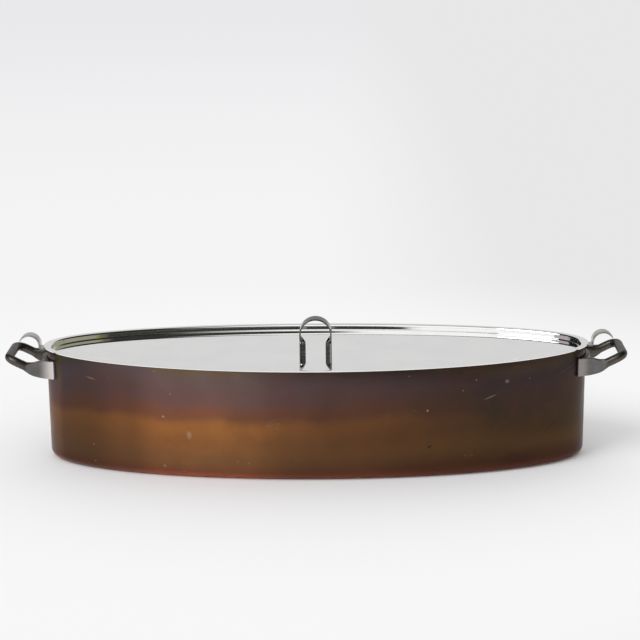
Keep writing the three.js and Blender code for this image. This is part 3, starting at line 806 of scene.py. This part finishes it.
def bump(shader, height, strength, distance):
    made = put(shader.id_data, "ShaderNodeBump", {"Height": height, "Strength": strength, "Distance": distance})
    plug(made.outputs[0], shader.inputs["Normal"])


def feed(shader, colour, roughness, metallic=1.0):
    for label, value in (("Base Color", colour), ("Roughness", roughness), ("Metallic", metallic)):
        plug(value, shader.inputs[label])


# Copper, darkened by heat: purple-brown above, orange-brown in a band below; near black towards the right as painted
# shade
copperLook = {
    "metallic": 0.85, "roughness": (0.30, 0.40),
    "wide": {"Scale": 9.0, "Seed": 3.0, "High": 0.7}, "small": {"Scale": 34.0, "Seed": 8.0, "Low": 0.35, "High": 0.7},
    # tones from the bottom edge at 0 to the rim at 1, lit on the left and with painted shade on the right
    "warmStops": [
        (0.0, tone(176, 104, 78)), (0.03, tone(128, 66, 46)), (0.07, tone(100, 62, 42)), (0.16, tone(104, 70, 44)),
        (0.32, tone(112, 72, 42)), (0.50, tone(124, 78, 42)), (0.60, tone(100, 62, 46)), (0.74, tone(88, 64, 62)),
        (0.92, tone(86, 70, 70)), (1.0, tone(88, 73, 58))],
    "shadedStops": [
        (0.0, tone(150, 80, 52)), (0.035, tone(84, 44, 28)), (0.10, tone(60, 36, 24)), (0.25, tone(74, 52, 28)),
        (0.42, tone(60, 44, 28)), (0.62, tone(56, 42, 35)), (0.85, tone(54, 43, 44)), (1.0, tone(74, 60, 50))],
    # painted light and shade along the length: the warm tones are multiplied by twice these, from 0 at x -0.28 m to 1
    # at x 0.28 m
    "alongReach": 0.28,
    "paintedLightStops": [
        (0.0, (0.42, 0.47, 0.64, 1)), (0.030, (0.42, 0.47, 0.60, 1)), (0.037, (0.31, 0.35, 0.40, 1)),
        (0.08, (0.32, 0.36, 0.38, 1)), (0.16, (0.50, 0.52, 0.54, 1)), (0.232, (0.82, 0.82, 0.78, 1)),
        (0.357, (0.90, 0.94, 0.88, 1)), (0.464, (0.60, 0.62, 0.64, 1)), (0.571, (0.62, 0.62, 0.62, 1))],
    # wave of the level; where the painted shade on the right takes over along x (m), and how far its edge wanders
    "wave": (0.05, 0.4, 0.0, 0.10), "shadeSpan": (-0.13, 0.20), "shadeEdgeWander": 0.06,
    "mottle": 0.22, "mottleTone": tone(96, 62, 40),
    # olive band on the wall beside the end of the left palm: its left and right edge (m), and where it begins in
    # height
    "oliveBandLeft": (-0.2650, -0.2625), "oliveBandRight": (-0.2565, -0.2605), "oliveBandAbove": (0.6, 0.85, 0.0, 0.6),
    "oliveBandTone": tone(84, 74, 30),
    "scratches": ({"Scale": 70.0, "Lean": 0.5, "Seed": 4.0, "Width": 0.007, "Amount": 0.16},
                  {"Scale": 55.0, "Lean": -0.7, "Seed": 9.0, "Width": 0.006, "Amount": 0.12}),
    "specks": {"Scale": 75.0, "Size": 0.06, "Share": 0.22}, "speckShare": 0.45,
    "scratchTone": tone(168, 138, 120), "scratchRoughness": 0.1,
    # single marks on the front wall: x, z, half width, half height (m), turn (degrees), share, pale or dark
    "spots": [
        (-0.126, 0.046, 0.0024, 0.0042, 0, 0.45, True), (-0.152, 0.064, 0.0012, 0.0011, 0, 0.8, True),
        (-0.226, 0.098, 0.0050, 0.0008, -12, 0.35, True), (0.192, 0.096, 0.0022, 0.0020, 0, 0.3, True),
        (0.175, 0.081, 0.0065, 0.0009, 20, 0.25, True), (0.112, 0.071, 0.0010, 0.0012, 0, 0.7, True),
        (0.239, 0.043, 0.0150, 0.0007, 42, 0.5, False), (0.114, 0.033, 0.0024, 0.0012, 35, 0.8, False),
        (-0.152, 0.012, 0.0016, 0.0012, 0, 0.5, True)],
    "spotY": -0.08, "spotHalfDepth": 0.078, "spotEdge": (1.4, 0.35),
    "paleTone": tone(168, 150, 138), "darkTone": tone(30, 25, 23),
    "grain": {"Scale": 420.0, "Stretch": (0.08, 0.08, 1.0)}, "relief": (0.05, 0.0004),
}
look = copperLook
copper, shader, place = newMaterial("heatDarkenedCopperAndPaintedShade")
axes = splitAxes(place)
wide = useGroup(cloudGroup, place, look["wide"])
small = useGroup(cloudGroup, place, look["small"])
wander = minus(wide, 0.5)
level = calc("DIVIDE", axes["Z"], bodyHeight * mm)
level = calc("ADD", level, times(wander, remap(level, *look["wave"])), clamp=True)
along = calc("DIVIDE", calc("ADD", axes["X"], look["alongReach"]), 2 * look["alongReach"])
# painted light and shade along the length, brightest a little left of the middle
warm = combined("MULTIPLY", ramp(level, look["warmStops"]), {1: ramp(along, look["paintedLightStops"])})[0]
warm = combined("SCALE", warm, {"Scale": 2.0})[0]
# painted shade: towards the right the colour turns to the shaded tones
across = calc("ADD", axes["X"], times(wander, look["shadeEdgeWander"]))
colour = blendColour(remap(across, *look["shadeSpan"]), warm, ramp(level, look["shadedStops"]))
colour = blendColour(times(small, look["mottle"]), colour, look["mottleTone"])
# olive band beside the left palm, broken up by the wide patches
oliveBand = times(remap(axes["X"], *look["oliveBandLeft"]), remap(axes["X"], *look["oliveBandRight"]))
oliveBand = times(oliveBand, remap(level, *look["oliveBandAbove"]))
colour = blendColour(times(oliveBand, wide), colour, look["oliveBandTone"])
bright = calc("MAXIMUM", *[useGroup(scratchGroup, place, form) for form in look["scratches"]])
bright = calc("MAXIMUM", bright, times(useGroup(speckGroup, place, look["specks"]), look["speckShare"]))
colour = blendColour(bright, colour, look["scratchTone"])
for spotX, spotZ, halfWide, halfHigh, turn, share, pale in look["spots"]:
    spot = put(shader.id_data, "ShaderNodeMapping", {
        "Vector": place, "Location": (spotX, look["spotY"], spotZ), "Rotation": (0.0, -radians(turn), 0.0),
        "Scale": (halfWide, look["spotHalfDepth"], halfHigh)}, vector_type="TEXTURE").outputs[0]
    covered = remap(combined("LENGTH", spot, {})["Value"], *look["spotEdge"], 0.0, share)
    colour = blendColour(covered, colour, look["paleTone"] if pale else look["darkTone"])
rough = calc("ADD", remap(small, 0, 1, *look["roughness"]), times(bright, look["scratchRoughness"]))
feed(shader, colour, rough, look["metallic"])
bump(shader, useGroup(grainGroup, place, look["grain"]), *look["relief"])


# Steel and rivets: metals whose tone and roughness vary in cloudy patches
def cloudyMetal(name, look, metallic=1.0):
    material, shader, place = newMaterial(name)
    haze = useGroup(cloudGroup, place, look["cloud"])
    colour, rough = blendColour(haze, *look["tones"]), remap(haze, 0, 1, *look["roughness"])
    if "scratches" in look:
        rough = calc("ADD", rough, useGroup(scratchGroup, place, look["scratches"]))
    if "grain" in look:
        bump(shader, useGroup(grainGroup, place, look["grain"]), *look["relief"])
    feed(shader, colour, rough, metallic)
    return material, shader, place, colour


# polished steel of the lid
mirrorLook = {
    "cloud": {"Scale": 26.0, "Seed": 1.0}, "tones": (tone(250, 250, 249), tone(244, 244, 244)),
    "roughness": (0.035, 0.07),
    "scratches": {"Scale": 90.0, "Lean": 0.9, "Seed": 2.0, "Width": 0.008, "Amount": 0.1},
}
mirror = cloudyMetal("polishedSteel", mirrorLook)[0]

# straps and rack; the bow of the right strap is painted darker and browner, as shade on the side away from the light
satinLook = {
    "cloud": {"Scale": 60.0, "Seed": 5.0}, "tones": (tone(186, 182, 176), tone(160, 155, 148)),
    "roughness": (0.16, 0.26), "grain": {"Scale": 700.0, "Stretch": (1.0, 0.06, 1.0)}, "relief": (0.08, 0.0003),
    "bowShadeTone": tone(142, 124, 114), "bowShadeAlong": (0.2, 0.22), "bowShadeAbove": (0.128, 0.146, 0.0, 0.85),
}
satin, shader, place, colour = cloudyMetal("satinSteel", satinLook)
axes = splitAxes(place)
# painted shade on the bow of the right strap
bowShade = times(remap(axes["X"], *satinLook["bowShadeAlong"]), remap(axes["Z"], *satinLook["bowShadeAbove"]))
plug(blendColour(bowShade, colour, satinLook["bowShadeTone"]), shader.inputs["Base Color"])

liningLook = {
    "cloud": {"Scale": 22.0, "Seed": 6.0}, "tones": (tone(190, 190, 188), tone(176, 175, 172)),
    "roughness": (0.24, 0.36), "grain": {"Scale": 500.0, "Stretch": (0.04, 0.04, 1.0)}, "relief": (0.1, 0.0003),
}
lining = cloudyMetal("liningSteel", liningLook)[0]

# handle of the lid, with painted shade towards the top of its bow
archLook = {
    "cloud": {"Scale": 80.0, "Seed": 7.0}, "tones": (tone(160, 160, 157), tone(138, 138, 135)),
    "roughness": (0.18, 0.28), "grain": {"Scale": 500.0, "Stretch": (1.0, 0.05, 1.0)}, "relief": (0.03, 0.0002),
    "crownShadeTone": tone(70, 70, 69),
}
darkSteel, shader, place, colour = cloudyMetal("darkSatinSteel", archLook)
crownFrom = (lidFloorTop + archForm["channelHeight"] + archForm["foldHeight"]) * mm
# painted shade: the bow darkens from the top of the folds to its crown
crownShade = remap(splitAxes(place)["Z"], crownFrom, (lidFloorTop + archForm["height"]) * mm)
plug(blendColour(crownShade, colour, archLook["crownShadeTone"]), shader.inputs["Base Color"])

# hammered copper of the rivets
rivetLook = {
    "cloud": {"Scale": 240.0, "Seed": 2.0}, "tones": (tone(128, 84, 62), tone(100, 62, 46)),
    "roughness": (0.3, 0.45), "metallic": 0.9, "dents": 700.0, "relief": (0.3, 0.0004),
}
rivetMetal, shader, place, colour = cloudyMetal("rivetCopper", rivetLook, rivetLook["metallic"])
dents = put(shader.id_data, "ShaderNodeTexVoronoi", {"Vector": place, "Scale": rivetLook["dents"]})
bump(shader, dents.outputs["Distance"], *rivetLook["relief"])


# Cast metal of the end handles; the flat palms get lighter tones as painted reflection, with a painted highlight near
# each palm's end, brightest on the left
castLook = {
    "cloud": {"Scale": 120.0, "Seed": 2.0}, "tones": (tone(98, 93, 88), tone(80, 76, 71)),
    # lighter tones of the flat palms are painted reflection
    "palmSheenTones": (tone(112, 110, 108), tone(96, 94, 92)), "roughness": (0.38, 0.26),
    # limits of the palms (m): beyond the end of the wall, and from the middle outwards
    "leafTip": (0.0165, 0.0190), "palmFace": (0.0235, 0.0255),
    # painted highlights near the palms' ends: where each comes in beyond the wall (m), and its tone
    "leftEnd": (0.006, -0.011), "leftTone": tone(222, 216, 214),
    "rightEnd": (0.002, -0.006), "rightTone": tone(146, 140, 136),
    "skin": 900.0, "relief": (0.12, 0.0003),
}
look = castLook
castMetal, shader, place = newMaterial("castMetal")
axes = splitAxes(place)
fromWall = minus(calc("ABSOLUTE", axes["X"]), halfLength * mm)
palm = times(minus(1.0, remap(fromWall, *look["leafTip"])), remap(calc("ABSOLUTE", axes["Y"]), *look["palmFace"]))
patch = useGroup(cloudGroup, place, look["cloud"])
# painted reflection on the flat palms
palmSheen = blendColour(patch, *look["palmSheenTones"])
# painted highlights towards the ends of the palms, bright on the left and dimmer on the right
onLeft = calc("LESS_THAN", axes["X"], 0.0)
palmSheen = blendColour(times(remap(fromWall, *look["leftEnd"]), onLeft), palmSheen, look["leftTone"])
palmSheen = blendColour(times(remap(fromWall, *look["rightEnd"]), minus(1.0, onLeft)), palmSheen, look["rightTone"])
colour = blendColour(palm, blendColour(patch, *look["tones"]), palmSheen)
feed(shader, colour, remap(palm, 0, 1, *look["roughness"]))
skin = put(shader.id_data, "ShaderNodeTexNoise", {"Vector": place, "Scale": look["skin"], "Detail": 3.0})
bump(shader, skin.outputs[0], *look["relief"])

for pieces, material in (
        ([copperBody], copper), ([liningPiece], lining), ([lidPan], mirror), ([lidHandle], darkSteel),
        ([rackPlate] + strapPieces, satin), (handlePieces, castMetal), (rivetPieces, rivetMetal)):
    for piece in pieces:
        piece.data.materials.clear()
        piece.data.materials.append(material)

backingForm = {"edge": 0.0003, "steps": 2}
for name in ("left_handle_backing", "right_handle_backing"):
    plate = nodes[name]
    plate.material_slots[0].material = satin
    soft = plate.modifiers.new("softEdges", "BEVEL")
    soft.width = backingForm["edge"]
    soft.segments = backingForm["steps"]
print("materials done")


# Floor: white paper that takes the kettle's shadow; away from it, it glows with painted light for the camera and in
# reflections, darker far off and towards the right as painted shade
floorLook = {
    "size": 24.0, "level": -0.0003, "roughness": 0.9, "paper": tone(246, 246, 247), "sideways": (1.0, 1.3, 0.0),
    # glowing tones near the kettle, far away and towards the right, where painted shade darkens them, and the
    # distances (m) over which each comes in
    "nearTone": tone(244, 244, 245), "farShadeTone": tone(233, 233, 235), "rightTone": tone(231, 231, 231),
    "glowFrom": (0.45, 1.05), "farFrom": (0.8, 6.0), "rightFrom": (-0.05, 0.35),
}
look = floorLook
floorMesh = bpy.data.meshes.new("floor")
reach = look["size"] / 2
floorMesh.from_pydata([(x * reach, y * reach, look["level"]) for x, y in ((-1, -1), (1, -1), (1, 1), (-1, 1))],
                      [], [(0, 1, 2, 3)])
floorPiece = linked("paleFloor", floorMesh)
floorMaterial, shader, place = newMaterial("palePaper")
feed(shader, look["paper"], look["roughness"], 0.0)
shader.inputs["Specular IOR Level"].default_value = 0.0
tree = shader.id_data
away = combined("LENGTH", combined("MULTIPLY", place, {1: look["sideways"]})[0], {})["Value"]
# painted shade: the glow darkens far away and towards the right
tint = blendColour(remap(away, *look["farFrom"]), look["nearTone"], look["farShadeTone"])
tint = blendColour(remap(splitAxes(place)["X"], *look["rightFrom"]), tint, look["rightTone"])
# painted light: away from the kettle the paper glows for camera and glossy rays
glow = put(tree, "ShaderNodeEmission", {"Color": tint, "Strength": 1.0}).outputs[0]
rays = put(tree, "ShaderNodeLightPath").outputs
direct = calc("MAXIMUM", rays["Is Camera Ray"], rays["Is Glossy Ray"])
share = times(remap(away, *look["glowFrom"]), direct)
cover = put(tree, "ShaderNodeMixShader", {0: share, 1: shader.outputs[0], 2: glow})
output = [node for node in tree.nodes if node.type == "OUTPUT_MATERIAL"][0]
plug(cover.outputs[0], output.inputs["Surface"])
floorPiece.data.materials.append(floorMaterial)


# World: even light, a pale backdrop for the camera, and the room that the metal mirrors
white, mauve, olive = (1.0, 1.0, 1.0, 1.0), tone(178, 169, 174), tone(152, 150, 132)
pale, ceiling, dark = tone(217, 217, 217), tone(120, 120, 120), tone(44, 42, 41)
roomLook = {
    "evenStrength": 0.8, "backdrop": tone(246, 246, 247),
    # the walls by bearing, as a share of a turn that starts and ends at the back, with the front at 0.5
    "low": [
        (0.0, pale), (0.06, tone(215, 215, 215)), (0.12, tone(66, 64, 66)), (0.16, tone(28, 27, 28)),
        (0.248, tone(28, 26, 28)), (0.2528, mauve), (0.40, mauve), (0.41, tone(56, 54, 52)),
        (0.600, tone(52, 52, 48)), (0.607, tone(102, 100, 88)), (0.614, tone(108, 104, 95)),
        (0.6186, tone(142, 145, 76)), (0.625, olive), (0.86, olive), (0.93, tone(208, 208, 208)), (1.0, pale)],
    "high": [(0.0, ceiling), (0.12, dark), (0.88, dark), (1.0, ceiling)],
    # degrees: where the back begins, and the rise at which the high tones take over in front and at the back
    "back": (110.0, 150.0), "highInFront": (24.0, 32.0), "highAtBack": (35.0, 60.0),
    # bright window to the left of the camera, in degrees: left edge, and right edge by rise with its softness
    "windowLeft": (-60.5, -59.0), "softRise": 15.0, "softGrowth": 0.3, "leastSoft": 0.9,
    "windowRight": ((5, -12.9), (10, -10.02), (20, -8.85), (30, 1.5), (45, 15.0), (90, 24.0)),
}
look = roomLook
world = bpy.data.worlds.new("studio")
bpy.context.scene.world = world
world.use_nodes = True
tree = world.node_tree
tree.nodes.clear()
axes = splitAxes(put(tree, "ShaderNodeTexCoord").outputs["Generated"])
# bearing from the front, 0 straight towards the camera's side, positive to the right
bearing = times(calc("ARCTAN2", axes["X"], times(axes["Y"], -1.0)), 180 / pi)
rise = times(calc("ARCSINE", axes["Z"]), 180 / pi)
turnShare = calc("ADD", calc("DIVIDE", bearing, 360.0), 0.5)
behind = remap(calc("ABSOLUTE", bearing), *look["back"])
raised = calc("ADD", times(remap(rise, *look["highInFront"]), minus(1.0, behind)),
              times(remap(rise, *look["highAtBack"]), behind))
seen = blendColour(raised, ramp(turnShare, look["low"]), ramp(turnShare, look["high"]))
# a ramp holds 0 to 1, so it takes the window's right edge as a share of -30 to 60 degrees
edgeShares = [(height / 90, ((edge + 30) / 90,) * 3 + (1,)) for height, edge in look["windowRight"]]
rightEdge = minus(times(ramp(calc("DIVIDE", rise, 90.0), edgeShares, "LINEAR"), 90.0), 30.0)
soft = calc("MAXIMUM", times(minus(rise, look["softRise"]), look["softGrowth"]), look["leastSoft"])
past = calc("DIVIDE", minus(bearing, rightEdge), soft)
window = times(remap(past, -1.0, 1.0, 1.0, 0.0), remap(bearing, *look["windowLeft"]))
seen = blendColour(window, seen, white)
rays = put(tree, "ShaderNodeLightPath").outputs
even, mirrored, backdrop = [
    put(tree, "ShaderNodeBackground", {"Color": colour, "Strength": strength}).outputs[0]
    for colour, strength in ((white, look["evenStrength"]), (seen, 1.0), (look["backdrop"], 1.0))]
mix = put(tree, "ShaderNodeMixShader", {0: rays["Is Glossy Ray"], 1: even, 2: mirrored}).outputs[0]
mix = put(tree, "ShaderNodeMixShader", {0: rays["Is Camera Ray"], 1: mix, 2: backdrop}).outputs[0]
plug(mix, put(tree, "ShaderNodeOutputWorld").inputs["Surface"])


# Lamp and camera
lampForm = {"from": (-0.9, -0.62, 0.95), "distance": 2, "angle": 32, "strength": 1.1}
light = bpy.data.lights.new("keyLamp", "SUN")
light.angle = radians(lampForm["angle"])
light.energy = lampForm["strength"]
lamp = linked("keyLamp", light)
lamp.location = Vector(lampForm["from"]) * lampForm["distance"]
lamp.rotation_euler = (-Vector(lampForm["from"])).to_track_quat("-Z", "Y").to_euler()

cameraForm = {
    "place": (0.0321, -1.7547, 0.6292), "forward": (-0.0150, 0.9636, -0.2668), "roll": 0.0102,
    "lens": 99.84, "sensor": 36, "farthest": 60,
}
cameraData = bpy.data.cameras.new("camera")
cameraData.lens = cameraForm["lens"]
cameraData.sensor_width = cameraForm["sensor"]
cameraData.sensor_fit = "HORIZONTAL"
cameraData.clip_end = cameraForm["farthest"]
camera = linked("camera", cameraData)
forward = Vector(cameraForm["forward"]).normalized()
right = forward.cross(Vector((0, 0, 1))).normalized()
up = right.cross(forward)
roll = cameraForm["roll"]
right, up = right * cos(roll) - up * sin(roll), right * sin(roll) + up * cos(roll)
turn = Matrix((right, up, -forward)).transposed().to_4x4()
camera.matrix_world = Matrix.Translation(cameraForm["place"]) @ turn
bpy.context.scene.camera = camera
bpy.context.scene.view_settings.view_transform = "Standard"
print("stage done")
